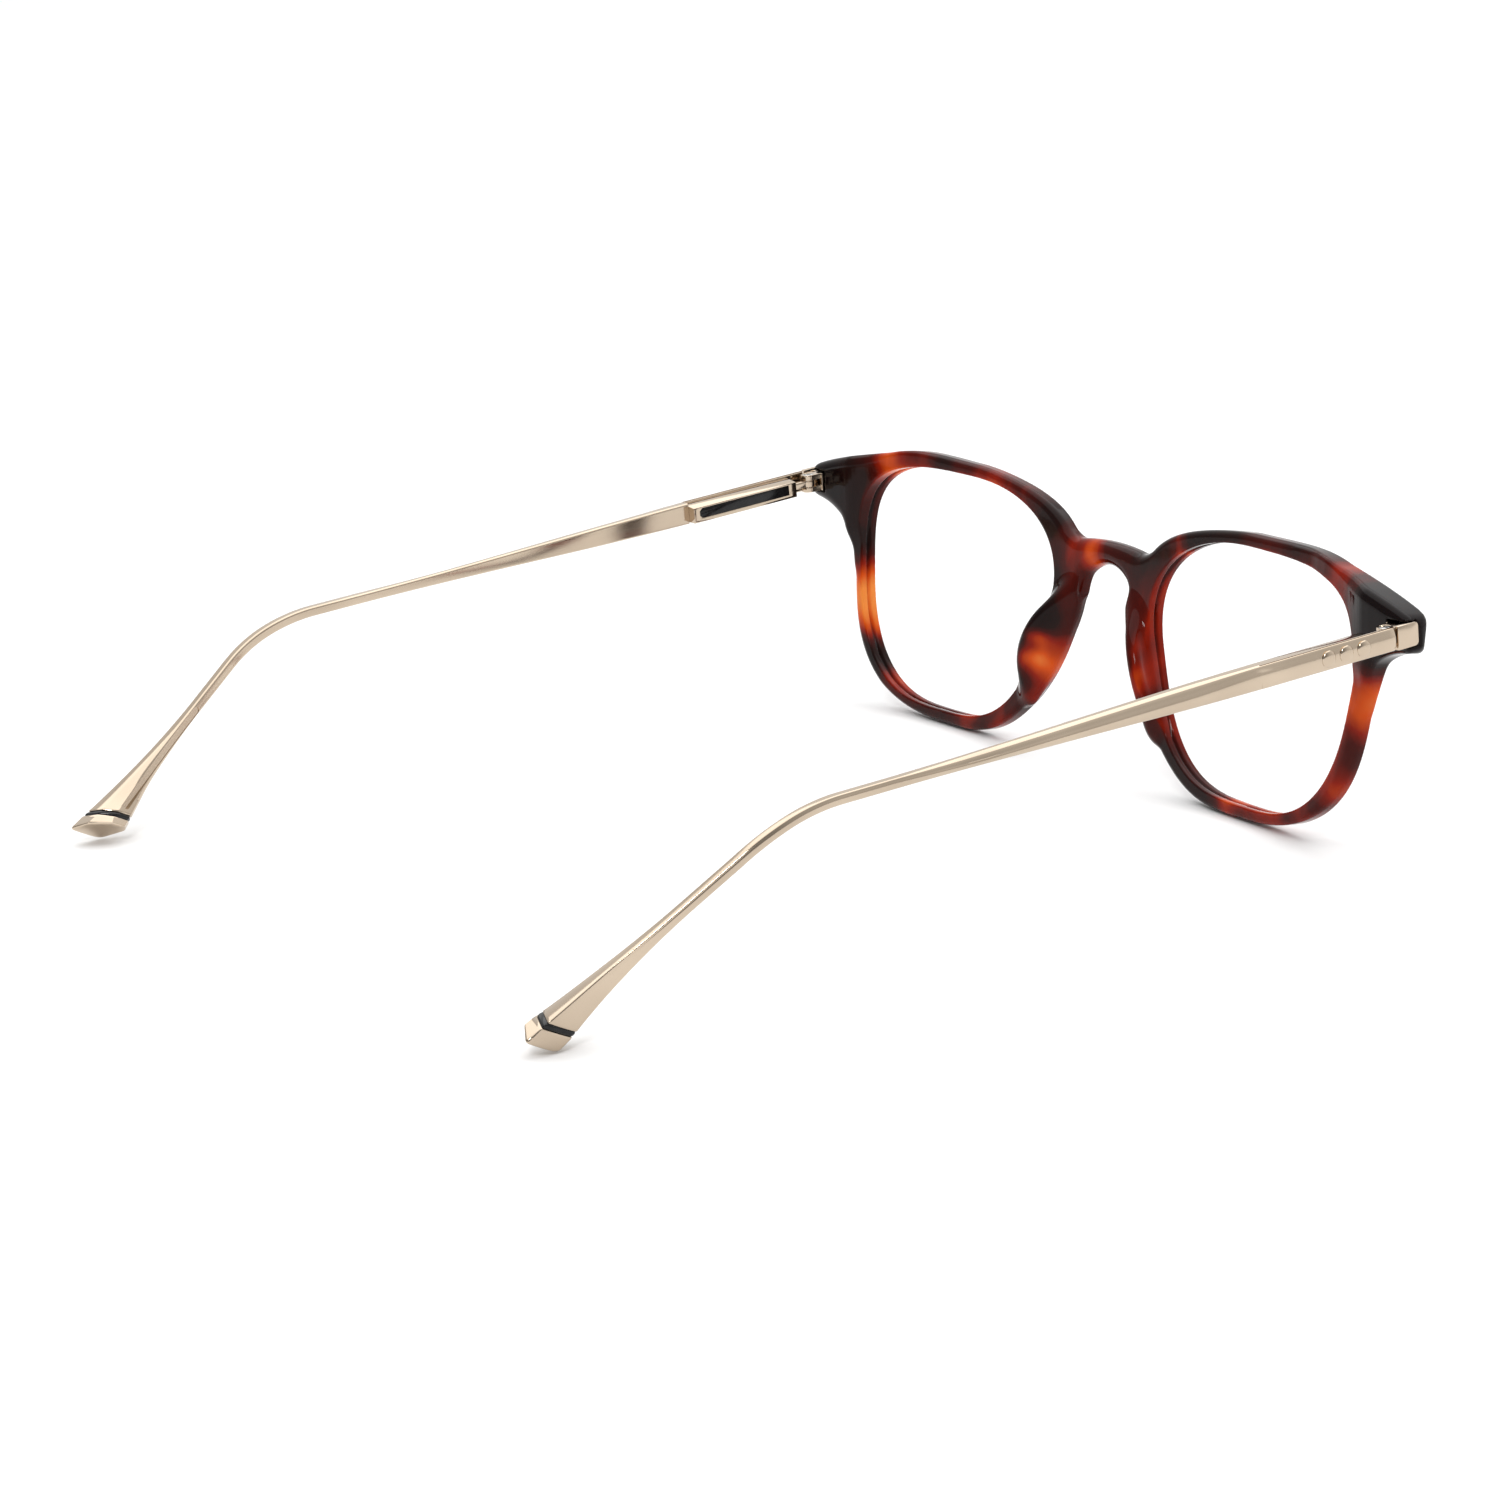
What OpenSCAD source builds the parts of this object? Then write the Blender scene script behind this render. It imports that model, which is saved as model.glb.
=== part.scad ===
// Eyeglasses frame, rear view right way up: +X is the wearer's left, the front faces -Y.
// It stands on its lower rims and temple tips at z = 0. All lengths in mm, angles in degrees.

/* [Rims] */
// Lens opening width
lens_w = 44.6; // [40:0.5:52]
// Lens opening height
lens_h = 36.5; // [30:0.2:46]
// Distance from the middle of the frame to a lens centre
lens_x = 34.6; // [30:0.1:40]
// Roundness of the upper outer corner, larger is squarer
corner_upper_out = 3.3; // [2:0.1:4]
// Roundness of the upper nasal corner
corner_upper_in = 2.1; // [2:0.1:4]
// Roundness of the lower nasal corner
corner_lower_in = 3.3; // [2:0.1:4]
// Roundness of the lower outer corner
corner_lower_out = 2.8; // [2:0.1:4]
// Share by which the opening narrows from top to bottom
lens_taper = 0.2; // [0:0.01:0.3]
// Sideways slant of the opening
lens_slant = -1.9; // [-4:0.1:4]
// Sideways bow of the opening
lens_bow = -0.3; // [-3:0.1:3]
// Mean rim width
rim_w = 2.7; // [1.5:0.1:4]
// Extra rim width towards the nose
rim_nose = 0.7; // [0:0.1:2]
// Extra rim width at both sides against top and bottom
rim_sides = 0.8; // [0:0.1:2]
// Extra rim width at the top
rim_top = 0.3; // [-1:0.1:2]
// Acetate thickness front to back
front_t = 2.8; // [2.4:0.1:5]
// Half of the width over the end pieces
half_width = 69.8; // [60:0.1:75]
// Radius of the base curve of the front
base_r = 990; // [300:10:2000]
// Depth of the lens groove
groove_deep = 0.6; // [0.3:0.1:1]
// Width of the lens groove
groove_w = 0.9; // [0.6:0.1:1.4]

/* [Bridge and pads] */
// Top of the bridge above the lens centre line
bridge_top = 13.6; // [10:0.1:18]
// Drop of the bridge top towards the rims
bridge_drop = 1.2; // [0:0.1:3]
// Radius of the keyhole
keyhole_r = 6.7; // [5:0.1:9]
// Height of the keyhole arch above the lens centre line
keyhole_top = 10.1; // [8:0.1:14]
// Sideways position of the bonded edge of a nose pad
pad_x = 11.35; // [9:0.05:14]
// Middle of a nose pad above the lens centre line
pad_z = -3.3; // [-8:0.1:4]
// How far a nose pad stands out behind the rim
pad_out = 4.1; // [2:0.1:7]
// Length of the bonded edge of a nose pad
pad_len = 19; // [10:0.5:20]
// Thickness of a nose pad
pad_t = 2.2; // [1.5:0.1:4]
// Angle between a nose pad and the vertical, seen from the front
pad_lean = 24; // [10:1:40]
// Angle by which a nose pad opens towards the back
pad_splay = 28; // [0:1:40]

/* [Hinge] */
// Sideways position of the hinge pin
pin_x = 67.2; // [60:0.1:75]
// Hinge pin behind the front surface at the middle of the frame
pin_y = 8.5; // [6:0.1:12]
// Hinge pin centre above the lens centre line
pin_z = 12.0; // [5:0.1:18]
// Downward slope of the temples against the front
hinge_tilt = 11.6; // [5:0.1:16]
// Inward angle of the open temples
splay = 1.15; // [0:0.05:3]
// Lean of the front when the frame stands on a table
stand_tilt = 7.47; // [4:0.1:12]
// Pin centre to the outer face of the temple
pin_offset = 2.25; // [1.8:0.05:3]
// Hinge screw radius
pin_r = 0.6; // [0.4:0.05:0.8]
// Knuckle radius
knuckle_r = 1.15; // [0.9:0.05:1.6]
// Height of the whole barrel
barrel_h = 2.7; // [2:0.1:4]
// Height of the middle leaf
leaf_h = 1.0; // [0.6:0.1:1.6]
// Running clearance in the hinge
run_gap = 0.05; // [0.01:0.01:0.1]
// How far a temple can swing outward past its open position
over_swing = 8; // [0:1:10]

/* [Temples] */
// Height of the temple at the hinge
bar_h = 3.3; // [2.5:0.1:5]
// Height of the temple before the bend
bar_thin_h = 1.4; // [1:0.05:3]
// Thickness of the temple behind the spring housing
bar_t = 2.2; // [1.6:0.1:3]
// Thickness of the temple at the bend
bar_thin_t = 1.6; // [1:0.1:3]
// Thickness of the outer strip beside the hinge
strip_t = 0.8; // [0.6:0.05:1.2]
// Distance from the pin to the corner of the bend
bend_at = 98; // [80:1:110]
// Bend radius
bend_r = 28; // [15:1:40]
// Bend angle
bend_angle = 32; // [20:1:60]
// Length of the temple after the bend corner
tip_len = 42.3; // [30:0.5:50]
// Inward travel of the tip for each mm of run behind the bend
tip_inward = 0.22; // [0:0.01:0.4]
// Height of the flared tip
tip_h = 5.4; // [3:0.1:7]
// Thickness of the flared tip
tip_t = 5.2; // [2:0.1:7]
// Length of the flare
flare_len = 26; // [15:1:35]
// End of the bar to the black band, along the middle of the tip
band_at = 3.9; // [2:0.1:8]
// Width of the black band
band_w = 0.9; // [0.5:0.1:1.5]
// Depth of the groove of the band
band_deep = 0.4; // [0.2:0.1:0.8]
// Length of the recess on the inner face of the tip
recess_len = 18; // [10:1:26]
// Stud radius
stud_r = 1.15; // [0.8:0.05:1.5]
// Stud dome height
stud_h = 0.35; // [0.2:0.05:0.6]
// First stud behind the pin
stud_first = 5.6; // [4:0.1:8]
// Distance between studs
stud_pitch = 3.05; // [2.5:0.05:4]

/* [Spring housing] */
// Front end of the housing behind the pin
house_from = 3.4; // [3:0.1:5]
// Rear end of the housing behind the pin
house_to = 23; // [18:0.5:30]
// Inner face of the housing from the pin centre
house_in = 1.35; // [1.1:0.05:2]
// Height of the housing
house_h = 2.7; // [2.6:0.1:4]
// Half width of the channel inside the housing
channel_w = 0.75; // [0.6:0.05:1]
// Half height of the channel inside the housing
channel_h = 0.6; // [0.5:0.05:0.8]
// Front of the stop wall behind the pin
stop_from = 9.3; // [8:0.1:12]
// Thickness of the stop wall
stop_t = 1.0; // [0.6:0.1:2]
// Rod radius
rod_r = 0.3; // [0.2:0.05:0.4]
// Spring outer radius
spring_r = 0.55; // [0.4:0.05:0.6]
// Spring wire radius
wire_r = 0.09; // [0.05:0.01:0.12]
// Number of spring turns shown
turns = 28; // [10:1:40]

/* [Hidden] */
$fn = 64;
acetate = [0.35, 0.13, 0.06];
gold = [0.80, 0.70, 0.58];
black = [0.05, 0.05, 0.05];
silver = [0.75, 0.75, 0.74];
lens_steps = 96;
fit = 0.02;
base_z = 20;
base_y = 69;
bridge_half = 10.3;
tongue_t = 1.2;
tongue_from = -4.8;
screw_v = -4.1;
lug_back = -2.1;
block_front = -3.95;
rod_from = 8.9;
nut_from = 18.4;
nut_t = 1.0;
bend_tangent = bend_r * tan(bend_angle / 2);
bend_from = bend_at - bend_tangent;
bend_run = bend_r * bend_angle * PI / 180;
tip_from = bend_from + bend_run;
bar_end = tip_from + tip_len - bend_tangent;
tip_cut = 28;
band_turn = 20;
end_turn = 32;
end_trim = 1.9;

// Everything is drawn in the frame of the upright front and then leaned back onto the table.
module placed() {
    translate([0, -base_y, base_z])
        rotate([stand_tilt, 0, 0])
            children();
}

// side 1 is the wearer's left, side -1 the wearer's right
module on_side(side) {
    placed()
        mirror([side < 0 ? 1 : 0, 0, 0])
            children();
}

// Hinge frame: origin on the pin, y back along the temple, z along the pin
module at_hinge() {
    translate([pin_x, pin_y, pin_z])
        rotate([-hinge_tilt, 0, 0])
            children();
}

module at_temple() {
    at_hinge()
        rotate([0, 0, splay])
            children();
}

// Extrudes a drawing of the front view from y0 to y1
module from_front(y0, y1) {
    translate([0, y1, 0])
        rotate([90, 0, 0])
            linear_extrude(height = y1 - y0)
                children();
}

// Layer of the curved front between two depths behind its front surface
function arc_y(x, depth) = base_r - sqrt(pow(base_r - depth, 2) - x * x);
module layer(depth_0, depth_1) {
    xs = [for (i = [-7:7]) i * 80 / 7];
    n = len(xs) - 1;
    translate([0, 0, -40])
        linear_extrude(height = 80)
            polygon(concat(
                [for (x = xs) [x, arc_y(x, depth_0)]],
                [for (i = [n:-1:0]) [xs[i], arc_y(xs[i], depth_1)]]));
}

function signed_pow(v, p) = sign(v) * pow(abs(v), 2 / p);
function corner(c, s) = s > 0 ? (c > 0 ? corner_upper_out : corner_upper_in)
                              : (c > 0 ? corner_lower_out : corner_lower_in);
function lens_pt(a) =
    let (c = cos(a), s = sin(a), e = corner(c, s), x = signed_pow(c, e), z = signed_pow(s, e))
    [lens_x + lens_w / 2 * x * (1 + lens_taper * z) + lens_slant * z + lens_bow * z * z,
     lens_h / 2 * z];
function lens_normal(a) =
    let (t = lens_pt(a + 1) - lens_pt(a - 1))
    [t[1], -t[0]] / norm(t);
// Rim width by direction: most at the nose, then outside, then on top
function rim_width(a) = rim_w - rim_nose * cos(a) + rim_top * sin(a) + rim_sides * cos(2 * a)
    - 0.2 * sin(2 * a) - 0.3 * cos(3 * a) + 0.3 * sin(3 * a) - 0.4 * sin(4 * a);
function ring(extra) = [for (i = [0:lens_steps - 1])
    let (a = (i + 0.5) * 360 / lens_steps) lens_pt(a) + lens_normal(a) * extra];
function rim_ring() = [for (i = [0:lens_steps - 1])
    let (a = (i + 0.5) * 360 / lens_steps) lens_pt(a) + lens_normal(a) * rim_width(a)];

module both_sides() {
    children();
    mirror([1, 0, 0])
        children();
}

// Front view of one end piece
module lug_outline() {
    polygon([[46, 16], [47, 19.3], [52, 18.9], [58.4, 17.6], [67.2, 15.3], [68.9, 14.6], [69.7, 13.5],
        [69.9, 12.4], [69.7, 11.3], [68.9, 10.3], [67.5, 9.7], [64, 8.5], [62, 7.1], [60.6, 5.4], [57, 0]]);
}

// Plan of the end piece behind the rim, in the hinge frame
module lug_plan() {
    polygon([[-16, -12], [-16, -6.2], [-8.5, lug_back - 0.9], [-6.5, lug_back],
        [2.75, lug_back], [2.75, -12]]);
}

module tongue_room(gap) {
    translate([-6.9 - gap, tongue_from - gap, -1.3 - gap])
        cube([5.6 + 2 * gap, tongue_t + 2 * gap, 2.6 + 2 * gap]);
}

// Seat of the hinge block in the rear of the end piece, which wraps above and below it
module block_room() {
    half = bar_h / 2 + 0.06;
    translate([-1.75, block_front, -half])
        cube([8, 8, 2 * half]);
}

// Plan of the whole front with rounded outer corners
module plan_limit() {
    r = 2.8;
    polygon(concat(
        [for (a = [0:15:90]) [half_width - r + r * cos(a), 4.7 - r * sin(a)]],
        [[50, -2], [-50, -2]],
        [for (a = [90:-15:0]) [-half_width + r - r * cos(a), 4.7 - r * sin(a)]],
        [[-half_width, 12], [half_width, 12]]));
}

module bridge_block() {
    difference() {
        from_front(-2, 10)
            polygon(concat(
                [[-bridge_half, 6], [bridge_half, 6]],
                [for (i = [4:-1:-4]) [i / 4 * bridge_half, bridge_top - bridge_drop * i * i / 16]]));
        translate([0, 12, keyhole_top - keyhole_r])
            rotate([90, 0, 0])
                cylinder(r = keyhole_r, h = 16);
    }
}

// Rear part of an end piece, thick enough to hold the hinge block
module lug_block() {
    intersection() {
        from_front(0.9, 12)
            lug_outline();
        at_hinge()
            translate([0, 0, -12])
                linear_extrude(height = 24)
                    lug_plan();
    }
}

module front_body() {
    intersection() {
        translate([0, 0, -40])
            linear_extrude(height = 80)
                plan_limit();
        union() {
            intersection() {
                layer(0, front_t);
                union() {
                    both_sides()
                        from_front(-1, 9)
                            polygon(rim_ring());
                    both_sides()
                        from_front(-1.5, 9.5)
                            lug_outline();
                    bridge_block();
                }
            }
            both_sides()
                lug_block();
        }
    }
}

module front() {
    color(acetate)
        placed()
            difference() {
                front_body();
                both_sides()
                    from_front(-2, 13)
                        polygon(ring(0));
                both_sides()
                    intersection() {
                        from_front(-1, 9)
                            polygon(ring(groove_deep));
                        layer((front_t - groove_w) / 2, (front_t + groove_w) / 2);
                    }
                both_sides()
                    at_hinge() {
                        block_room();
                        tongue_room(0.05);
                        translate([screw_v, lug_back + 1, 0])
                            rotate([90, 0, 0])
                                cylinder(r = 0.66, h = 2.6);
                        translate([screw_v, lug_back + 1, 0])
                            rotate([90, 0, 0])
                                cylinder(r = 0.9, h = 1.45);
                    }
            }
}

module nose_pad(side) {
    color(acetate)
        on_side(side)
            intersection() {
                translate([pad_x, front_t, pad_z])
                    rotate([0, -pad_lean, 0])
                        rotate([0, 0, -pad_splay])
                            rotate([0, -90, 0])
                                pad_blank();
                layer(front_t + fit, 30);
            }
}

// A round segment: x up, y back, z thickness
module pad_blank() {
    half = pad_len / 2;
    r = (half * half + pad_out * pad_out) / (2 * pad_out);
    intersection() {
        translate([0, pad_out - r, -pad_t / 2])
            cylinder(r = r, h = pad_t);
        translate([-half - 2, -1.5, -pad_t / 2])
            cube([pad_len + 4, pad_out + 3, pad_t]);
    }
}

module hinge_block(side) {
    color(gold)
        on_side(side)
            at_hinge()
                difference() {
                    union() {
                        // outer end cap in line with the temple
                        translate([0, 0, -bar_h / 2])
                            linear_extrude(height = bar_h)
                                cap_plan();
                        // body between the acetate and the knuckles
                        translate([-1.45, block_front + fit, -barrel_h / 2])
                            cube([1.46 + pin_offset - strip_t, 2.4, barrel_h]);
                        tongue_room(0);
                        for (w = [-barrel_h / 2, leaf_h / 2 + run_gap])
                            translate([0, 0, w])
                                knuckle(barrel_h / 2 - leaf_h / 2 - run_gap);
                    }
                    translate([0, 0, -5])
                        cylinder(r = pin_r + run_gap, h = 10);
                    translate([0, 0, barrel_h / 2 - 0.4 - fit])
                        cylinder(r1 = pin_r + run_gap, r2 = 0.92, h = 0.5);
                    translate([screw_v, 0, 0])
                        rotate([90, 0, 0])
                            cylinder(r = 0.6, h = 8);
                }
}

// Plan of the end cap: its rear end is relieved so that the temple can swing outward
module cap_plan() {
    front_end = block_front + fit;
    inner = pin_offset - strip_t;
    polygon([[inner, front_end], [pin_offset, front_end], [pin_offset, -pin_offset * sin(over_swing) - 0.04],
        [inner, -inner * sin(over_swing) - 0.04]]);
}

module knuckle(h) {
    cylinder(r = knuckle_r, h = h);
    translate([-knuckle_r, -1.7, 0])
        cube([2 * knuckle_r, 1.7, h]);
}

module block_screw(side) {
    color(silver)
        on_side(side)
            at_hinge()
                translate([screw_v, lug_back + 0.12, 0])
                    rotate([90, 0, 0])
                        difference() {
                            union() {
                                cylinder(r = 0.85, h = 0.5);
                                cylinder(r = 0.58, h = 2.6);
                            }
                            rotate([0, 0, 40])
                                translate([-1, -0.12, -0.1])
                                    cube([2, 0.24, 0.3]);
                        }
}

module hinge_screw(side) {
    top = barrel_h / 2;
    color(silver)
        on_side(side)
            at_hinge()
                difference() {
                    union() {
                        translate([0, 0, -top + 0.05])
                            cylinder(r = pin_r, h = barrel_h - 0.45);
                        translate([0, 0, top - 0.4])
                            cylinder(r1 = pin_r, r2 = 0.85, h = 0.38);
                    }
                    translate([-1, -0.11, top - 0.2])
                        cube([2, 0.22, 0.3]);
                }
}

module hinge_slider(side) {
    color(gold)
        on_side(side)
            at_temple()
                difference() {
                    union() {
                        translate([0, 0, -leaf_h / 2])
                            cylinder(r = knuckle_r, h = leaf_h);
                        translate([-0.6, 0, -leaf_h / 2])
                            cube([1.2, rod_from + 0.3, leaf_h]);
                        translate([0, rod_from, 0])
                            rotate([-90, 0, 0])
                                cylinder(r = rod_r, h = nut_from + nut_t - rod_from);
                    }
                    translate([0, 0, -5])
                        cylinder(r = pin_r + run_gap, h = 10);
                }
}

module spring(side) {
    start = stop_from + stop_t + 0.03;
    pitch = (nut_from - start - 2 * wire_r - 0.06) / (turns - 1);
    color(silver)
        on_side(side)
            at_temple()
                translate([0, start, 0])
                    rotate([-90, 0, 0])
                        rotate_extrude()
                            union() {
                                translate([spring_r - 1.2 * wire_r, wire_r])
                                    square([0.4 * wire_r, pitch * (turns - 1)]);
                                for (i = [0:turns - 1])
                                    translate([spring_r - wire_r, wire_r + i * pitch])
                                        circle(r = wire_r, $fn = 24);
                            }
}

module spring_nut(side) {
    color(gold)
        on_side(side)
            at_temple()
                translate([0, nut_from, 0])
                    rotate([-90, 0, 0])
                        difference() {
                            cylinder(r = 0.55, h = nut_t - 0.1);
                            translate([0, 0, -1])
                                cylinder(r = rod_r + 0.01, h = 4);
                        }
}

module hinge_housing(side) {
    back = pin_offset - strip_t - fit;
    color(gold)
        on_side(side)
            at_temple()
                difference() {
                    translate([-house_in, house_from, -house_h / 2])
                        cube([house_in + back, house_to - fit - house_from, house_h]);
                    translate([-channel_w, house_from - 1, -channel_h])
                        cube([2 * channel_w, stop_from - house_from + 1, 2 * channel_h]);
                    translate([-channel_w, stop_from + stop_t, -channel_h])
                        cube([2 * channel_w, house_to - stop_from - stop_t - 1.2, 2 * channel_h]);
                    translate([0, stop_from - 1, 0])
                        rotate([-90, 0, 0])
                            cylinder(r = rod_r + 0.06, h = stop_t + 2);
                    translate([-house_in - 1, 0, 0])
                        rotate([90, 0, 90])
                            linear_extrude(height = 1.22)
                                plaque_outline(0);
                    for (i = [0:2])
                        translate([back - 0.42, stud_first + i * stud_pitch, 0])
                            rotate([0, 90, 0])
                                cylinder(r = 0.4, h = 2);
                }
}

// Side view of the inlay: two cut corners at the rear end
module plaque_outline(gap) {
    a = house_from + 1.4 + gap;
    b = house_to - 1.1 - gap;
    h = 0.8 - gap;
    polygon([[a, -h], [b - 0.5, -h], [b, -h + 0.45], [b, h - 0.45], [b - 0.5, h], [a, h]]);
}

module plaque(side) {
    color(black)
        on_side(side)
            at_temple()
                translate([-house_in + 0.02, 0, 0])
                    rotate([90, 0, 90])
                        linear_extrude(height = 0.19)
                            plaque_outline(0.02);
}

// Centre line of the temple in side view: position and upward normal at length s
function bar_pos(s) =
    s < bend_from ? [s, 0] :
    s < tip_from ? let (a = (s - bend_from) / bend_r * 180 / PI)
        [bend_from + bend_r * sin(a), -bend_r * (1 - cos(a))] :
    [bend_at + (s - tip_from + bend_tangent) * cos(bend_angle),
     -(s - tip_from + bend_tangent) * sin(bend_angle)];
function bar_up(s) =
    let (a = s < bend_from ? 0 : s < tip_from ? (s - bend_from) / bend_r * 180 / PI : bend_angle)
    [sin(a), cos(a)];
function smooth(v) = let (c = min(1, max(0, v))) c * c * (3 - 2 * c);
function flare(s) = let (c = max(0, (s - bar_end + flare_len) / flare_len)) c * c;
function half_h(s) = (bar_h + (bar_thin_h - bar_h) * smooth((s - 20) / 62)) / 2;
function top_h(s) = half_h(s) + 0.48 * (tip_h - bar_thin_h) * flare(s);
function low_h(s) = half_h(s) + 0.52 * (tip_h - bar_thin_h) * flare(s);
bar_stations = [0, 10, 20, 26, 32, 38, 44, 50, 56, 62, 68, 74, 80, 86];
late_stations = [for (i = [0:24]) bend_from + (bar_end + 3 - bend_from) * i / 24];
stations = concat(bar_stations, late_stations);

// Side view of the temple from length "from" to its end
module bar_side(inset, from) {
    list = [for (s = stations) if (s >= from) s];
    n = len(list) - 1;
    polygon(concat(
        [for (s = list) bar_pos(s) + bar_up(s) * (top_h(s) - inset)],
        [for (i = [n:-1:0]) bar_pos(list[i]) - bar_up(list[i]) * (low_h(list[i]) - inset)]));
}

// Plan of the temple: run behind the pin and sideways position of its middle and half thickness
run_end = bend_at + (tip_len + 4) * cos(bend_angle);
function mid_v(u) = pin_offset - bar_t / 2 - (u < 98 ? 0 : u < 106 ? tip_inward * (u - 98) * (u - 98) / 16
    : tip_inward * (u - 102));
function plan_flare(u) = let (c = max(0, (u - run_end + 4 + flare_len * 0.85) / (flare_len * 0.85))) c * c;
function half_t(u) = (bar_t + (bar_thin_t - bar_t) * smooth((u - 30) / 55)
    + (tip_t - bar_thin_t) * plan_flare(u)) / 2;
function shift_v(u) = mid_v(u) + (bar_t - bar_thin_t) / 4 * smooth((u - 30) / 55);
function out_v(u) = shift_v(u) + half_t(u);
function in_v(u) = u < house_to ? pin_offset - strip_t : shift_v(u) - half_t(u);
near_runs = [for (u = [house_to:8:95]) u];
far_runs = [for (i = [0:20]) 97 + (run_end - 97) * i / 20];
plan_runs = concat([0, house_to - 0.01], near_runs, far_runs);

module bar_plan(inset, from) {
    list = [for (u = plan_runs) if (u >= from) u];
    n = len(list) - 1;
    polygon(concat(
        [for (u = list) [out_v(u) - inset, u]],
        [for (i = [n:-1:0]) [in_v(list[i]) + inset, list[i]]]));
}

module bar_solid(inset, from = 0) {
    intersection() {
        translate([-20, 0, 0])
            rotate([90, 0, 90])
                linear_extrude(height = 30)
                    bar_side(inset, from);
        translate([0, 0, -40])
            linear_extrude(height = 50)
                bar_plan(inset, from);
    }
}

// Slab across the tip, from length a to length b before the end, cut at the slant of the end face
module tip_slab(a, b, turn) {
    end = bar_pos(bar_end);
    translate([mid_v(end[0]), end[0], end[1]])
        rotate([-bend_angle - tip_cut, 0, 0])
            rotate([0, 0, turn])
                translate([-25, -b, -12])
                    cube([50, b - a, 24]);
}

module temple(side) {
    color(gold)
        on_side(side)
            at_temple()
                difference() {
                    union() {
                        difference() {
                            bar_solid(0);
                            tip_slab(-20, end_trim, end_turn);
                            tip_slab(band_at, band_at + band_w, band_turn);
                        }
                        intersection() {
                            bar_solid(band_deep, 100);
                            tip_slab(band_at - 0.5, band_at + band_w + 0.7, band_turn);
                        }
                    }
                    for (i = [0:2])
                        translate([0, stud_first + i * stud_pitch, 0])
                            rotate([0, 90, 0])
                                cylinder(r = 0.4, h = 5);
                    // long shallow recess on the inner face of the tip
                    difference() {
                        recess_slot();
                        bar_solid(0.12, 96);
                    }
                }
}

// Slot outline through the inner half of the tip, in line with its middle
module recess_slot() {
    c = bar_pos(bar_end - 16);
    translate([mid_v(c[0]), c[0], c[1]])
        rotate([-bend_angle, 0, 0])
            rotate([0, 0, 10])
                rotate([0, -90, 0])
                    linear_extrude(height = 8)
                        polygon(concat(
                            [for (a = [0:30:180]) [0.5 * cos(a), recess_len / 2 + 0.5 * sin(a)]],
                            [for (a = [180:30:360]) [0.5 * cos(a), -recess_len / 2 + 0.5 * sin(a)]]));
}

module tip_band(side) {
    color(black)
        on_side(side)
            at_temple()
                intersection() {
                    difference() {
                        bar_solid(0.06, 100);
                        bar_solid(band_deep - fit, 100);
                    }
                    tip_slab(band_at + fit, band_at + band_w - fit, band_turn);
                }
}

module studs(side) {
    dome_r = (stud_r * stud_r + stud_h * stud_h) / (2 * stud_h);
    color(gold)
        on_side(side)
            at_temple()
                for (i = [0:2])
                    translate([pin_offset + fit, stud_first + i * stud_pitch, 0])
                        rotate([0, 90, 0]) {
                            translate([0, 0, -strip_t - 0.3])
                                cylinder(r = 0.38, h = strip_t + 0.35);
                            intersection() {
                                translate([0, 0, stud_h - dome_r])
                                    sphere(r = dome_r);
                                cylinder(r = stud_r + 1, h = 1);
                            }
                        }
}

front();
nose_pad(1);  // nose_pad_left
nose_pad(-1);  // nose_pad_right
hinge_block(1);  // hinge_block_left
hinge_block(-1);  // hinge_block_right
block_screw(1);  // block_screw_left
block_screw(-1);  // block_screw_right
hinge_screw(1);  // hinge_screw_left
hinge_screw(-1);  // hinge_screw_right
hinge_slider(1);  // hinge_slider_left
hinge_slider(-1);  // hinge_slider_right
spring(1);  // spring_left
spring(-1);  // spring_right
spring_nut(1);  // spring_nut_left
spring_nut(-1);  // spring_nut_right
hinge_housing(1);  // hinge_housing_left
hinge_housing(-1);  // hinge_housing_right
plaque(1);  // plaque_left
plaque(-1);  // plaque_right
temple(1);  // temple_left
temple(-1);  // temple_right
studs(1);  // studs_left
studs(-1);  // studs_right
tip_band(1);  // tip_band_left
tip_band(-1);  // tip_band_right
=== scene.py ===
"""Eyeglasses frame: tortoiseshell acetate front, polished champagne gold temples on spring hinges.

Shapes are worked out in millimetres in the upright frame of the front (x to the wearer's left, y back from
the front surface, z up from the lens centre line) and then leaned back into the table frame, in metres.
"""
import math

import bmesh
import bpy
import numpy as np
import openvdb
from mathutils import Matrix, Vector


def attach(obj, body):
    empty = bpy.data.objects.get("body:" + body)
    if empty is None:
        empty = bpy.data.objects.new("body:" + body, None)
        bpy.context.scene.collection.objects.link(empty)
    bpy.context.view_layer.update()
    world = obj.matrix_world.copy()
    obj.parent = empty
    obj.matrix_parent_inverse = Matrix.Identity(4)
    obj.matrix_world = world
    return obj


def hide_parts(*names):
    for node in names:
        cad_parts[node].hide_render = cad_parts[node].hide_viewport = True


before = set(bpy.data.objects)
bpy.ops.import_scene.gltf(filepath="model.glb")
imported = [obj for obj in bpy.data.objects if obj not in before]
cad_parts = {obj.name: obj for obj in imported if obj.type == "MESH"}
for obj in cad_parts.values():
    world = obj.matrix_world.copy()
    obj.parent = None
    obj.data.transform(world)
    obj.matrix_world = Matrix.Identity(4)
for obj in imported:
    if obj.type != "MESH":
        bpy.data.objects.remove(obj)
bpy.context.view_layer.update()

MM = 0.001
SIDES = {"left": 1, "right": -1}

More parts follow.
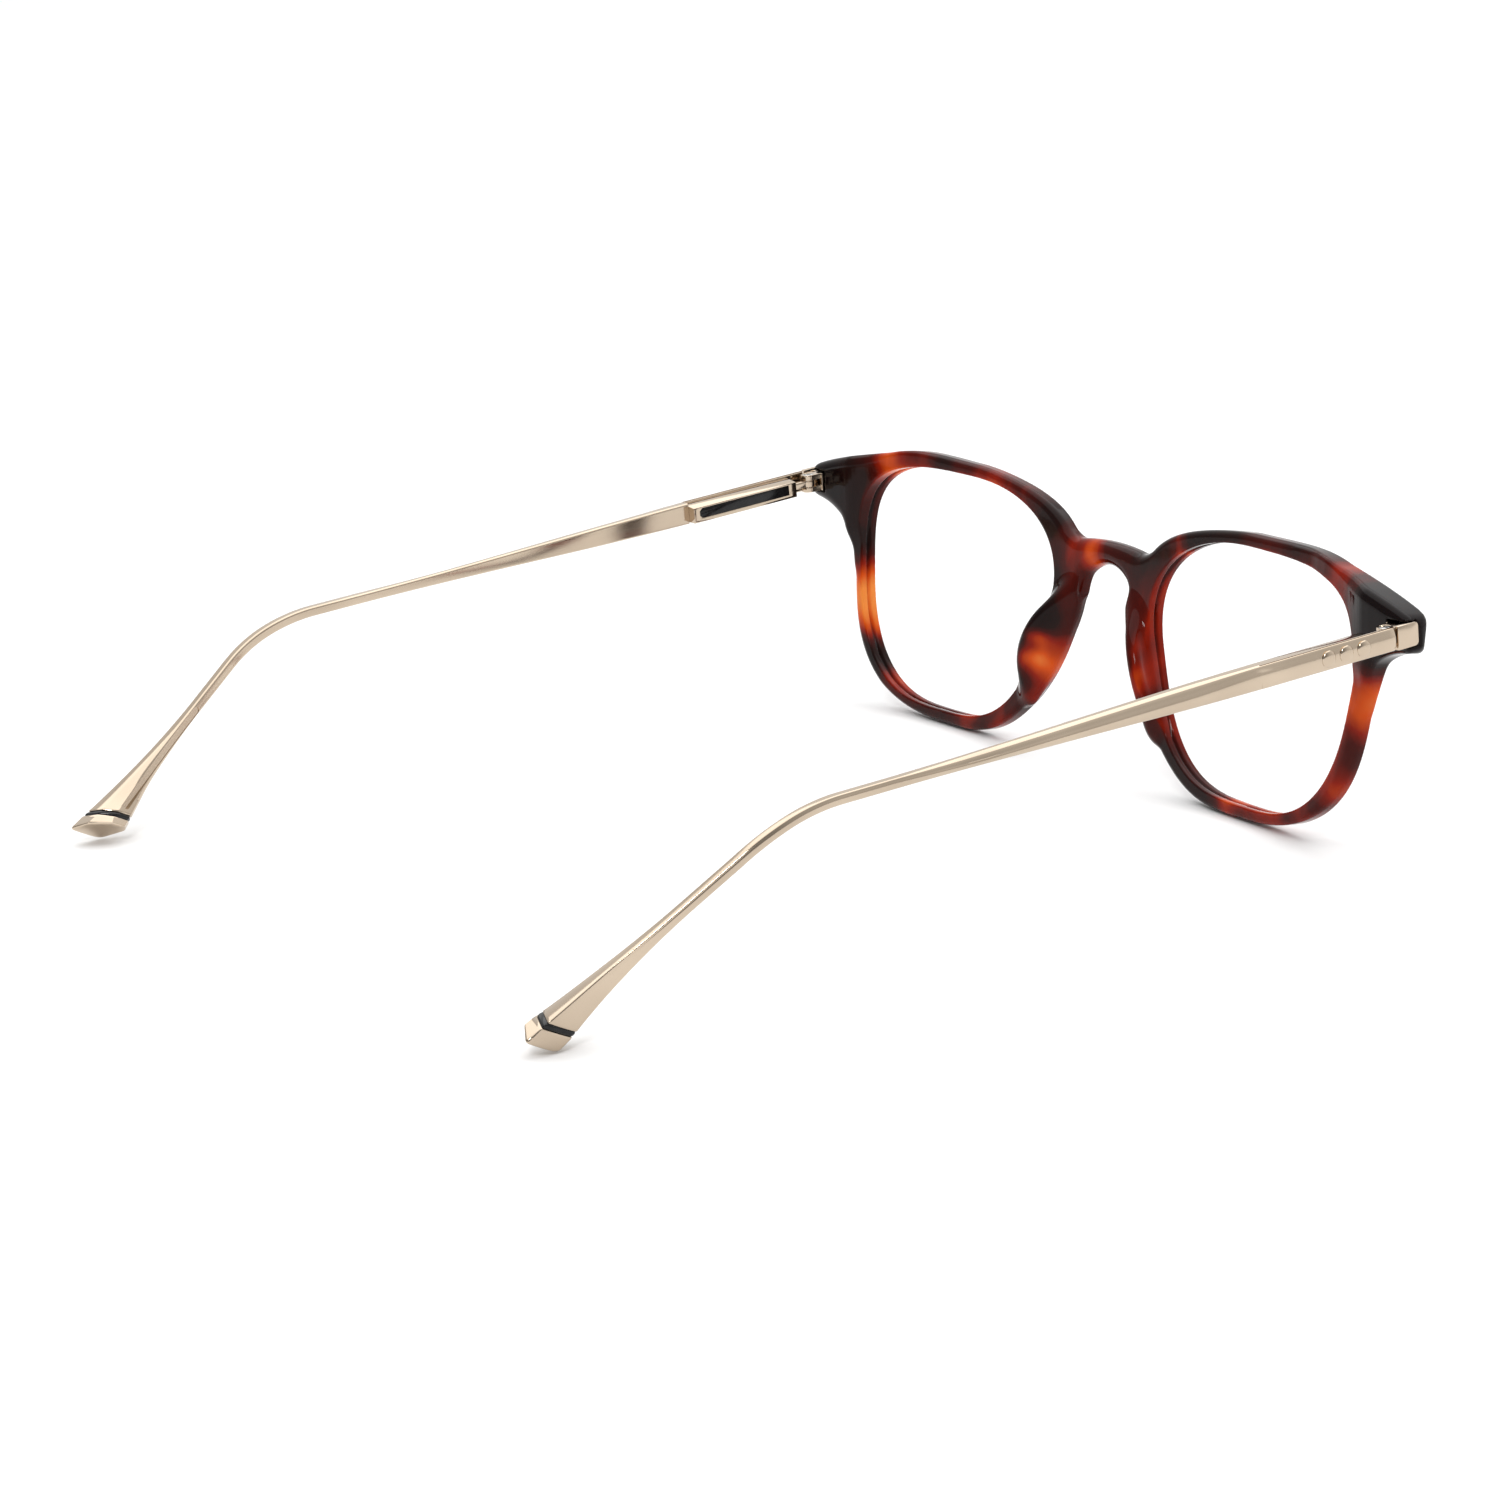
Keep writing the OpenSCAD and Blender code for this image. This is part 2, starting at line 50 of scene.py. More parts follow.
# ---------------------------------------------------------------- the frame's own sizes, mm and degrees
STAND_TILT = 7.47
BASE_Y, BASE_Z = 69.0, 20.0
BASE_R = 990.0
FRONT_T = 2.8
LENS_W, LENS_H, LENS_X = 44.6, 36.5, 34.6
CORNER_POWER = {(1, 1): 3.3, (-1, 1): 2.1, (-1, -1): 3.3, (1, -1): 2.8}
LENS_TAPER, LENS_SLANT, LENS_BOW = 0.2, -1.9, -0.3
BRIDGE_TOP, BRIDGE_DROP, BRIDGE_HALF = 13.6, 1.2, 10.3
KEYHOLE_R, KEYHOLE_TOP = 6.7, 10.1
GROOVE_DEEP, GROOVE_HALF = 0.6, 0.42
PAD_AT, PAD_OUT, PAD_LEN, PAD_T = (11.35, 2.8, -3.3), 4.1, 19.0, 2.2
PAD_LEAN, PAD_SPLAY = 24.0, 28.0
PIN = (67.2, 8.5, 12.0)
HINGE_TILT, SPLAY = 11.6, 1.15
PIN_OFFSET, STRIP_T = 2.25, 0.8
LUG_BACK, BLOCK_FRONT = -2.1, -3.95
CORNER_X, CORNER_Y, CORNER_R = 67.0, 4.7, 2.8
ROOM_IN, ROOM_HALF = 1.75, 1.71
HOUSE_TO = 23.0
STUDS_AT = (5.6, 8.65, 11.7)
BAR_H, BAR_THIN_H, BAR_T, BAR_THIN_T = 3.3, 1.4, 2.2, 1.6
BEND_AT, BEND_R, BEND_ANGLE = 98.0, 28.0, 32.0
LOW_FROM, LOW_RUN, THIN_FROM, THIN_RUN = 20, 62, 30, 55
TIP_LEN, TIP_H, TIP_T, FLARE_LEN = 42.3, 5.4, 5.2, 26.0
TIP_INWARD, INWARD_RUN = 0.22, 8
BAND_AT, BAND_W, BAND_DEEP = 3.9, 0.9, 0.4
TIP_CUT, BAND_TURN, END_TURN, END_TRIM = 28.0, 20.0, 32.0, 1.9
RECESS_LEN, RECESS_HALF, RECESS_DEEP, RECESS_FROM_END = 18.0, 0.5, 0.12, 16


def turn(axis, degrees):
    return np.array(Matrix.Rotation(math.radians(degrees), 3, axis))


LEAN = turn("X", STAND_TILT)
TO_HINGE = turn("X", -HINGE_TILT)
TO_TEMPLE = TO_HINGE @ turn("Z", SPLAY)


def to_table(points):
    """Front frame, mm, to table frame, m."""
    return (np.asarray(points, float) @ LEAN.T + (0, -BASE_Y, BASE_Z)) * MM


def from_temple(points, side=1):
    """Temple frame (v outward, u back, w up, from the pin) to the table frame."""
    front = np.asarray(points, float) @ TO_TEMPLE.T + PIN
    return to_table(front * (side, 1, 1))


# ---------------------------------------------------------------- mesh helpers
def add_mesh(name, points, faces, body, material, replaced=(), sharp=35):
    mesh = bpy.data.meshes.new(name)
    mesh.from_pydata([tuple(p) for p in points], [], [tuple(f) for f in faces])
    mesh.validate()
    obj = bpy.data.objects.new(name, mesh)
    bpy.context.scene.collection.objects.link(obj)
    return dress(obj, body, material, replaced, sharp)


def dress(obj, body, material, replaced=(), sharp=35):
    mesh = obj.data
    mesh.polygons.foreach_set("use_smooth", [True] * len(mesh.polygons))
    if sharp:
        mesh.set_sharp_from_angle(angle=math.radians(sharp))
    mesh.materials.clear()
    mesh.materials.append(material)
    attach(obj, body)
    if replaced:
        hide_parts(*replaced)
    return obj


def apply_modifiers(obj):
    graph = bpy.context.evaluated_depsgraph_get()
    mesh = bpy.data.meshes.new_from_object(obj.evaluated_get(graph))
    obj.modifiers.clear()
    obj.data = mesh
    return obj


def facing_out(obj):
    bm = bmesh.new()
    bm.from_mesh(obj.data)
    bmesh.ops.recalc_face_normals(bm, faces=bm.faces)
    bm.to_mesh(obj.data)
    bm.free()


def loft(rings, closed=False):
    """Points and faces of a skin over rings of equal length, capped at both ends unless closed."""
    n = len(rings[0])
    points = np.concatenate(rings)
    faces = []
    last = len(rings) if closed else len(rings) - 1
    for i in range(last):
        a, b = i * n, (i + 1) % len(rings) * n
        faces += [(a + j, a + (j + 1) % n, b + (j + 1) % n, b + j) for j in range(n)]
    if not closed:
        faces += [tuple(range(n))[::-1], tuple(range(len(points) - n, len(points)))]
    return points, faces


# ---------------------------------------------------------------- front: signed distance fields
def signed_power(v, p):
    return np.sign(v) * np.abs(v) ** (2 / p)


def lens_point(a):
    c, s = math.cos(a), math.sin(a)
    p = CORNER_POWER[(1 if c > 0 else -1, 1 if s > 0 else -1)]
    x, z = signed_power(c, p), signed_power(s, p)
    return np.array([LENS_X + LENS_W / 2 * x * (1 + LENS_TAPER * z) + LENS_SLANT * z + LENS_BOW * z * z,
                     LENS_H / 2 * z])


def rim_width(a):
    return (2.7 - 0.7 * math.cos(a) + 0.3 * math.sin(a) + 0.8 * math.cos(2 * a) - 0.2 * math.sin(2 * a)
            - 0.3 * math.cos(3 * a) + 0.3 * math.sin(3 * a) - 0.4 * math.sin(4 * a))


def lens_curves(count=200):
    inner, outer = [], []
    step = math.radians(1)
    for i in range(count):
        a = (i + 0.5) * 2 * math.pi / count
        along = lens_point(a + step) - lens_point(a - step)
        normal = np.array([along[1], -along[0]]) / np.linalg.norm(along)
        inner.append(lens_point(a))
        outer.append(lens_point(a) + normal * rim_width(a))
    return np.array(inner), np.array(outer)


LENS_CURVE, RIM_CURVE = lens_curves()


def rounded(polygon, times=3):
    """Cuts the corners of an outline again and again until it is a smooth curve."""
    for _ in range(times):
        after = np.roll(polygon, -1, axis=0)
        polygon = np.stack([polygon * 0.75 + after * 0.25, polygon * 0.25 + after * 0.75], 1).reshape(-1, 2)
    return polygon


BRIDGE = np.array([[-BRIDGE_HALF, 5], [BRIDGE_HALF, 5]]
                  + [[i / 6 * BRIDGE_HALF, BRIDGE_TOP - BRIDGE_DROP * (i / 6) ** 2]
                     for i in range(6, -7, -1)])
LUG = rounded(np.array([[40, 14], [40, 19.9], [46, 19.95], [49, 19.6], [52, 19.05], [55, 18.45], [58, 17.8],
                        [62, 16.85], [66.4, 15.65], [69.3, 14.6], [70.1, 12.5], [69.9, 9.9], [66, 9.3],
                        [63, 8.0], [61.4, 6.6], [60.2, 4.2], [57, -2]]))
# Plan of the end piece's rear face in the hinge frame, and the part of the front view where it is thicker
LUG_PLAN = rounded(np.array([[-20, -12], [-20, -6.9], [-12.8, -5.2], [-8.4, LUG_BACK - 0.5],
                             [-6.2, LUG_BACK], [9, LUG_BACK], [9, -12]]), 2)
THICK = rounded(np.array([[44, 7], [40, 26], [80, 26], [80, 3.5], [62.5, 4.0],
                          [58.2, 5.6], [51, 7]]), 2)


def polygon_distance(px, pz, polygon):
    """Signed distance of points to a closed outline, negative inside."""
    px, pz = np.broadcast_arrays(px, pz)
    best = np.full(px.shape, 1e9, np.float32)
    inside = np.zeros(px.shape, bool)
    for a, b in zip(polygon, np.roll(polygon, -1, axis=0)):
        ex, ez = b - a
        wx, wz = px - a[0], pz - a[1]
        t = np.clip((wx * ex + wz * ez) / (ex * ex + ez * ez), 0, 1)
        best = np.minimum(best, (wx - ex * t) ** 2 + (wz - ez * t) ** 2)
        if ez:
            crosses = ((a[1] <= pz) != (b[1] <= pz)) & (wx < ex * wz / ez)
            inside ^= crosses
    return np.sqrt(best) * np.where(inside, -1, 1)


def round_max(a, b, r):
    """Intersection whose edge is rounded with radius r."""
    return np.minimum(-r, np.maximum(a, b)) + np.hypot(np.maximum(r + a, 0), np.maximum(r + b, 0))


def round_min(a, b, r):
    """Union with a fillet of radius r."""
    return np.maximum(r, np.minimum(a, b)) - np.hypot(np.maximum(r - a, 0), np.maximum(r - b, 0))


def outline_fields(x, z):
    """Distances in the front view: outer outline, lens opening, thick part of the end piece."""
    x = np.abs(x)
    rim = polygon_distance(x, z, RIM_CURVE)
    keyhole = KEYHOLE_R - np.hypot(x, z - (KEYHOLE_TOP - KEYHOLE_R))
    bridge = round_max(polygon_distance(x, z, BRIDGE), keyhole, 0.3)
    lug = polygon_distance(x, z, LUG)
    outer = round_min(round_min(rim, bridge, 1.8), lug, 0.3 + 1.9 * np.clip((13 - z) / 5, 0, 1))
    return outer, polygon_distance(x, z, LENS_CURVE), polygon_distance(x, z, THICK)


def front_field(x, y, z, flat):
    """Signed distance of the acetate front. flat holds the outline fields at the same points."""
    outer, lens, thick = flat
    x = np.abs(x)
    depth = y - (BASE_R - np.sqrt(BASE_R ** 2 - x * x))
    front_r, room_r, corner_r, lens_r, groove_slope = 0.45, 0.12, 0.9, 0.2, 1.22
    # the rear edges are rounded far more than the front ones, and most of all round the nose
    by_nose = np.exp(-((x / 13) ** 4)) * np.exp(-(((z - 6) / 9) ** 4))
    rear_r = 1.0 + 1.0 * by_nose + 0.9 * np.clip((x - 50) / 8, 0, 1)
    hx = x - PIN[0]
    hy = (y - PIN[1]) * TO_HINGE[1, 1] + (z - PIN[2]) * TO_HINGE[2, 1]
    hz = (y - PIN[1]) * TO_HINGE[1, 2] + (z - PIN[2]) * TO_HINGE[2, 2]
    thicker = round_max(polygon_distance(hx, hy, LUG_PLAN), thick, 1.5)
    rear = round_min(depth - FRONT_T, thicker, 3.0)
    body = round_max(round_max(outer, rear, rear_r), -depth, front_r)
    room = np.maximum(np.maximum(-ROOM_IN - hx, BLOCK_FRONT - hy), np.abs(hz) - ROOM_HALF)
    body = round_max(body, -room, room_r)
    # the outer front corner of the end piece is round in plan
    corner = np.hypot(np.maximum(x - CORNER_X, 0), np.maximum(CORNER_Y - y, 0)) - CORNER_R
    corner = np.where(x > CORNER_X, corner, x - (CORNER_X + CORNER_R))
    body = round_max(body, corner, corner_r)
    body = round_max(body, -lens, lens_r)
    groove = np.abs(depth - FRONT_T / 2) - GROOVE_HALF + GROOVE_HALF / GROOVE_DEEP * lens
    groove = groove / groove_slope
    return np.maximum(body, -groove)


def pad_axes():
    return turn("Y", -PAD_LEAN) @ turn("Z", -PAD_SPLAY) @ turn("Y", -90)


def pad_field(x, y, z):
    """Signed distance of a nose pad: a round segment with full round edges."""
    axes = pad_axes()
    offset = [np.abs(x) - PAD_AT[0], y - PAD_AT[1], z - PAD_AT[2]]
    along, out, across = (sum(axes[k, i] * offset[k] for k in range(3)) for i in range(3))
    radius = (PAD_LEN ** 2 / 4 + PAD_OUT ** 2) / (2 * PAD_OUT)
    disc = np.hypot(along, out - PAD_OUT + radius) - radius
    depth = y - (BASE_R - np.sqrt(BASE_R ** 2 - x * x))
    edge_r, base_at, base_r = 1.05, 2.0, 0.5
    return round_max(round_max(disc, np.abs(across) - PAD_T / 2, edge_r), base_at - depth, base_r)


def surface(field, low, high, step):
    """Quads of the zero surface of field(x, y, z) in a box, moved onto the surface by Newton steps."""
    low, high = np.array(low, float), np.array(high, float)
    axes = [np.arange(low[k], high[k] + step, step, dtype=np.float32) for k in range(3)]
    values = field(axes[0][:, None, None], axes[1][None, :, None], axes[2][None, None, :])
    grid = openvdb.FloatGrid(2.0)
    grid.copyFromArray(np.ascontiguousarray(np.clip(values, -2, 2), np.float32))
    points, quads = grid.convertToQuads(isovalue=0.0)
    points = points.astype(np.float64) * step + low
    for _ in range(3):
        value = field(*points.T)
        tiny = 0.02
        slope = np.stack([(field(*(points + tiny * e).T) - value) / tiny for e in np.eye(3)], 1)
        size = np.maximum((slope ** 2).sum(1, keepdims=True), 0.3)
        points -= np.clip(slope * value[:, None] / size, -step / 3, step / 3)
    return points, quads


def acetate_front(x, y, z):
    return front_field(x, y, z, outline_fields(x, z) if x.ndim == 1 else grid_outline(x, z))


def grid_outline(x, z):
    """Outline fields of a whole grid, worked out once for each column."""
    flat = np.broadcast_arrays(x[:, 0, :], z[0])
    return [f[:, None, :] for f in outline_fields(*flat)]


def acetate_pad(x, y, z):
    """The pad with its fillet onto the rim: what the blended surface adds to the front."""
    front = acetate_front(x, y, z)
    pad = pad_field(x, y, z)
    fillet, margin, sunk, reach = 2.3, 0.006, 0.35, 2.6
    blended = round_min(front, pad, fillet) + margin
    return np.maximum(np.maximum(blended, -front - sunk), pad - reach)


# ---------------------------------------------------------------- acetate: where the colours lie
# Patches seen on the sheet, and one painted highlight on the right top edge: x, z in the front frame, radius
# in mm, strength (light above 0, dark below 0)
PATCHES = {
    "left end piece": (63, 12.5, 5.5, -1.2),
    "left top orange": (52.5, 18.5, 3.4, 1.3),
    "left top red": (46, 20, 4.2, 0.15),
    "left top dark": (38, 19, 4.5, -0.8),
    "left inner top orange": (27, 17, 4.2, 0.9),
    "left inner top dark": (19, 12, 3.6, -0.25),
    "left nose dark": (12, 6.5, 3.6, -0.9),
    "left nose orange": (10.9, -2.6, 1.8, 1.2),
    "left nose orange low": (11.8, -5.8, 1.9, 1.15),
    "left pad crest": (13.9, -2.8, 1.5, -0.8),
    "left pad upper": (10.5, 1.5, 2.6, -0.8),
    "left pad lower": (14.6, -9.6, 2.0, -0.9),
    "left lower nose": (17, -14.5, 4.0, -0.5),
    "left bottom dark": (33, -20, 6.0, -0.5),
    "left bottom red": (45, -19, 5.0, 0.2),
    "left outer bottom black": (54.5, -13, 4.2, -0.9),
    "left outer honey": (58, -5, 6.2, 1.5),
    "left outer black": (59.5, 4.5, 3.6, -0.8),
    "bridge orange": (2.6, 12, 3.8, 0.75),
    "bridge red": (-4, 11, 3.4, 0.2),
    "right nose red": (-10.5, 2, 5.0, 0.05),
    "right pad crest": (-8.2, -1, 2.2, -0.7),
    "right nose orange": (-12.5, -7, 3.0, 0.9),
    "right top dark": (-26, 18, 5.0, -0.45),
    "right top red": (-36, 20, 6.0, 0.25),
    # painted highlight: a light orange patch where the top edge of the right rim catches the light
    "right top edge painted highlight": (-53.5, 19, 3.0, 0.75),
    "right end piece": (-65, 13.2, 6.6, -3.0),
    "right outer orange": (-60.5, 0.5, 4.6, 0.9),
    "right outer dark": (-55.5, 5, 2.4, -0.5),
    "right outer honey": (-55.5, -13, 3.6, 0.9),
    "right bottom dark": (-38, -20, 6.0, -0.1),
    "right bottom black": (-26, -18.5, 5.0, -0.35),
}


def paint_acetate(obj, points):
    """Stores how light the tortoiseshell is at each vertex (one patch is a painted highlight), and how close
    it is to the thin wall of a lens opening, as a painted light that makes that wall look lit.
    """
    light = np.zeros(len(points))
    for x, z, radius, strength in PATCHES.values():
        light += strength * np.exp(-((points[:, 0] - x) ** 2 + (points[:, 2] - z) ** 2) / radius ** 2)
    lens = polygon_distance(np.abs(points[:, 0]), points[:, 2], LENS_CURVE)
    # painted light: the rim is made lighter within a few tenths of a mm of the lens opening, where its thin
    # wall looks lit
    wall_width = 0.35
    wall = np.exp(-np.maximum(lens, 0) / wall_width)
    for name, values in (("light", light), ("wall", wall)):
        attribute = obj.data.attributes.new(name, "FLOAT", "POINT")
        attribute.data.foreach_set("value", values.astype(np.float32))


def build_acetate(material):
    step = 0.2
    points, quads = surface(acetate_front, (-70.4, -0.4, -21.6), (70.4, 12.4, 21.2), step)
    obj = add_mesh("acetate_front", to_table(points), quads, "front_frame", material,
                   ("front",), 0)
    facing_out(obj)
    paint_acetate(obj, points)
    points, quads = surface(acetate_pad, (6.0, -0.4, -16.5), (18.5, 8.0, 10.0), step * 0.75)
    for side, sign in SIDES.items():
        placed = points * (sign, 1, 1)
        obj = add_mesh(f"pad_{side}", to_table(placed), quads, "front_frame", material,
                       (f"nose_pad_{side}",), 0)
        facing_out(obj)
        paint_acetate(obj, placed)


# ---------------------------------------------------------------- temples: lofted bars
BEND_TANGENT = BEND_R * math.tan(math.radians(BEND_ANGLE / 2))
BEND_FROM = BEND_AT - BEND_TANGENT
TIP_FROM = BEND_FROM + BEND_R * math.radians(BEND_ANGLE)
BAR_END = TIP_FROM + TIP_LEN - BEND_TANGENT
RUN_END = BEND_AT + (TIP_LEN + 4) * math.cos(math.radians(BEND_ANGLE))


def smooth(v):
    c = min(1.0, max(0.0, v))
    return c * c * (3 - 2 * c)


def bar_axis(s):
    """Centre line of the bar in side view at length s: (u, w) and the angle of its slope."""
    if s < BEND_FROM:
        return s, 0.0, 0.0
    if s < TIP_FROM:
        a = (s - BEND_FROM) / BEND_R
        return BEND_FROM + BEND_R * math.sin(a), -BEND_R * (1 - math.cos(a)), a
    a, rest = math.radians(BEND_ANGLE), s - TIP_FROM + BEND_TANGENT
    return BEND_AT + rest * math.cos(a), -rest * math.sin(a), a


def bar_size(s):
    """(inner v, outer v, low w, high w) of the section at length s."""
    u = bar_axis(s)[0]
    flare = max(0.0, (s - BAR_END + FLARE_LEN) / FLARE_LEN) ** 2
    half = (BAR_H + (BAR_THIN_H - BAR_H) * smooth((s - LOW_FROM) / LOW_RUN)) / 2
    high, low = half + 0.48 * (TIP_H - BAR_THIN_H) * flare, half + 0.52 * (TIP_H - BAR_THIN_H) * flare
    plan_flare = max(0.0, (u - RUN_END + 4 + FLARE_LEN * 0.85) / (FLARE_LEN * 0.85)) ** 2
    thin = smooth((u - THIN_FROM) / THIN_RUN)
    half_t = (BAR_T + (BAR_THIN_T - BAR_T) * thin + (TIP_T - BAR_THIN_T) * plan_flare) / 2
    past = max(0.0, u - BEND_AT)
    inward = TIP_INWARD * (past ** 2 / (2 * INWARD_RUN) if past < INWARD_RUN else past - INWARD_RUN / 2)
    middle = PIN_OFFSET - BAR_T / 2 - inward + (BAR_T - BAR_THIN_T) / 4 * thin
    inner = PIN_OFFSET - STRIP_T if s < HOUSE_TO else middle - half_t
    return inner, middle + half_t, -low, high


def section(s, inset=0.0, bevel=0.0):
    """Closed outline in (v, w): crowned outer face, a ridge along its top, and towards the tip wide
    bevels on the inner side."""
    inner, outer, low, high = bar_size(s)
    flare = max(0.0, (s - BAR_END + FLARE_LEN) / FLARE_LEN)
    inner, outer, low, high = inner + inset, outer - inset, low + inset, high - inset
    width, height = outer - inner, high - low
    crown = 0.26 * min(1.0, height / 3) * (1 - 0.8 * flare)
    small = min(0.25 + bevel, 0.25 * width, 0.25 * height)
    soft = (0.48 + 0.4 * smooth((s - HOUSE_TO) / 12)) * (1 - smooth((s - 66) / 24))
    ridge = min(max(soft, 0.24 + bevel * 0.5), 0.6 * width, 0.55 * height)
    top = min(0.35 + 1.5 * flare ** 2 + bevel * 0.5, 0.42 * width, 0.42 * height)
    under = min(0.3 + 0.7 * flare ** 2 + bevel * 0.5, 0.35 * width, 0.35 * height)
    points = []
    for i in range(11):
        t = -1 + i / 5
        w = low + small + (height - small - ridge) * i / 10
        points.append((outer - crown * t * t, w))
    face = outer - crown
    points += [(face - ridge * (1 - math.cos(a)), high - ridge * (1 - math.sin(a)))
               for a in (0.26, 0.52, 0.79, 1.05, 1.31, 1.57)]
    points += arc_corner((inner, high), (1, -1), top, flare, True)
    points += [(inner, (low + under + high - top) / 2)]
    points += arc_corner((inner, low), (1, 1), under, flare, False)
    points += [(face - small * (1 - math.sin(a)), low + small * (1 - math.cos(a))) for a in (0.0, 0.5, 1.0)]
    return points


def arc_corner(corner, inward, size, flat, from_side):
    """Corner of a section that turns from a round one into a flat bevel with softened ends."""
    points = []
    for k in (0.0, 0.08, 0.3, 0.5, 0.7, 0.92, 1.0):
        a = k * math.pi / 2
        bow = (1 - flat) * (1 - math.sin(a)) + flat * (1 - k)
        rise = (1 - flat) * (1 - math.cos(a)) + flat * k
        points.append((corner[0] + inward[0] * size * bow, corner[1] + inward[1] * size * rise))
    if from_side:
        return [(corner[0] + inward[0] * (p[1] - corner[1]) * inward[1],
                 corner[1] + inward[1] * (p[0] - corner[0]) * inward[0]) for p in points[::-1]]
    return points[::-1]


def bar_ring(s, inset=0.0, back=0.0, bevel=0.0):
    """One ring of the bar in the temple frame. Near the end rings lean with the slanted end face."""
    u, w, a = bar_axis(s)
    before_end = BAR_END - s
    lean = smooth(1 - (before_end - BAND_AT - 1.5) / 9)
    past_band = min(1.0, max(0.0, (BAND_AT - before_end) / (BAND_AT - END_TRIM)))
    swing = BAND_TURN + (END_TURN - BAND_TURN) * past_band
    middle = sum(bar_size(s)[:2]) / 2
    by_height = math.tan(math.radians(TIP_CUT))
    by_side = math.tan(math.radians(swing)) / math.cos(math.radians(TIP_CUT))
    ring = []
    for v, h in section(s, inset, bevel):
        shift = lean * (h * by_height + (v - middle) * by_side)
        run = shift - back
        ring.append((v, u + h * math.sin(a) + run * math.cos(a), w + h * math.cos(a) - run * math.sin(a)))
    return np.array(ring)


def bar_rings():
    step = 0.35
    rings = [bar_ring(0.0, 0.1), bar_ring(0.0, 0.03, -0.03), bar_ring(0.1)]
    rings += [bar_ring(s) for s in np.arange(1.0, HOUSE_TO - 0.02, 2.0)]
    rings += [bar_ring(HOUSE_TO - 0.001), bar_ring(HOUSE_TO + 0.001)]
    groove_from, groove_to = BAR_END - BAND_AT - BAND_W, BAR_END - BAND_AT
    rings += [bar_ring(s) for s in np.arange(HOUSE_TO + 1, BEND_FROM - 6, 1.5)]
    rings += [bar_ring(s) for s in np.arange(BEND_FROM - 5, groove_from - 0.3, step)]
    rings += [bar_ring(groove_from - 0.12), bar_ring(groove_from - 0.03, 0.03), bar_ring(groove_from, 0.12),
              bar_ring(groove_from, BAND_DEEP), bar_ring(groove_to, BAND_DEEP), bar_ring(groove_to, 0.12),
              bar_ring(groove_to + 0.03, 0.03), bar_ring(groove_to + 0.12)]
    edge, end = 0.4, BAR_END - END_TRIM
    rings += [bar_ring(s, bevel=0.12 * i) for i, s in enumerate(np.linspace(groove_to + 0.3, end - edge, 4))]
    for i in range(1, 7):
        a = i * math.pi / 12
        rings.append(bar_ring(end - edge + edge * math.sin(a), edge * (1 - math.cos(a)), bevel=0.5))
    return rings


def recess_cutter(side):
    """Stadium-shaped cutter that follows the inner face of the tip and stands proud of it."""
    s_mid, proud = BAR_END - RECESS_FROM_END, 2
    rings = []
    for t in np.linspace(-1, 1, 61):
        t = math.sin(t * math.pi / 2)
        along = t * (RECESS_LEN / 2 + RECESS_HALF)
        over = max(0.0, abs(along) - RECESS_LEN / 2)
        half = math.sqrt(max(1e-4, RECESS_HALF ** 2 - over ** 2))
        s = s_mid + along
        u, w, a = bar_axis(s)
        inner = bar_size(s)[0]
        bottom, top = inner + RECESS_DEEP, inner - proud
        ring = []
        for v, h in ((bottom, half), (top, half), (top, -half), (bottom, -half)):
            ring.append((v, u + h * math.sin(a), w + h * math.cos(a)))
        rings.append(np.array(ring))
    points, faces = loft(rings)
    mesh = bpy.data.meshes.new("recess_cutter")
    mesh.from_pydata([tuple(p) for p in from_temple(points, side)], [], faces)
    cutter = bpy.data.objects.new("recess_cutter", mesh)
    bpy.context.scene.collection.objects.link(cutter)
    facing_out(cutter)
    return cutter


def build_temple(side, sign, material):
    points, faces = loft(bar_rings())
    mesh = bpy.data.meshes.new(f"bar_{side}")
    mesh.from_pydata([tuple(p) for p in from_temple(points, sign)], [], faces)
    obj = bpy.data.objects.new(f"bar_{side}", mesh)
    bpy.context.scene.collection.objects.link(obj)
    facing_out(obj)
    cutter = recess_cutter(sign)
    cut = obj.modifiers.new("recess", "BOOLEAN")
    cut.operation, cut.object, cut.solver = "DIFFERENCE", cutter, "EXACT"
    apply_modifiers(obj)
    bpy.data.objects.remove(cutter)
    dress(obj, f"temple_arm_{side}", material, (f"temple_{side}",), 34)


def build_band(side, sign, material):
    """Enamel ring: level with the metal, slightly crowned across its width."""
    side_gap, floor_gap, edge_inset, crown, steps = 0.03, 0.02, 0.14, 0.12, 6
    start, stop = BAR_END - BAND_AT - BAND_W + side_gap, BAR_END - BAND_AT - side_gap
    rings = [bar_ring(stop, BAND_DEEP - floor_gap), bar_ring(start, BAND_DEEP - floor_gap)]
    for i in range(steps + 1):
        a = i / steps * math.pi
        rings.append(bar_ring(start + (stop - start) * i / steps, edge_inset - crown * math.sin(a)))
    points, faces = loft(rings, closed=True)
    obj = add_mesh(f"band_{side}", from_temple(points, sign), faces, f"temple_arm_{side}",
                   material, (f"tip_band_{side}",), 40)
    facing_out(obj)


# ---------------------------------------------------------------- hardware
def bevelled(node, body, material, width, name, shape=None):
    """A copy of a CAD solid with its edges broken, as tumbled and polished metal has."""
    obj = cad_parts[node].copy()
    obj.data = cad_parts[node].data.copy()
    obj.name = name
    for key in [k for k in obj.keys() if k.startswith("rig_")]:
        del obj[key]
    obj.parent = None
    bpy.context.scene.collection.objects.link(obj)
    bm = bmesh.new()
    bm.from_mesh(obj.data)
    bmesh.ops.remove_doubles(bm, verts=bm.verts, dist=2e-6)
    bmesh.ops.dissolve_limit(bm, angle_limit=math.radians(1), verts=bm.verts, edges=bm.edges)
    if shape:
        shape(bm)
    bm.to_mesh(obj.data)
    bm.free()
    bevel = obj.modifiers.new("bevel", "BEVEL")
    bevel.width, bevel.segments, bevel.limit_method = width * MM, 2, "ANGLE"
    bevel.angle_limit, bevel.use_clamp_overlap = math.radians(40), True
    apply_modifiers(obj)
    return dress(obj, body, material, (node,), 40)


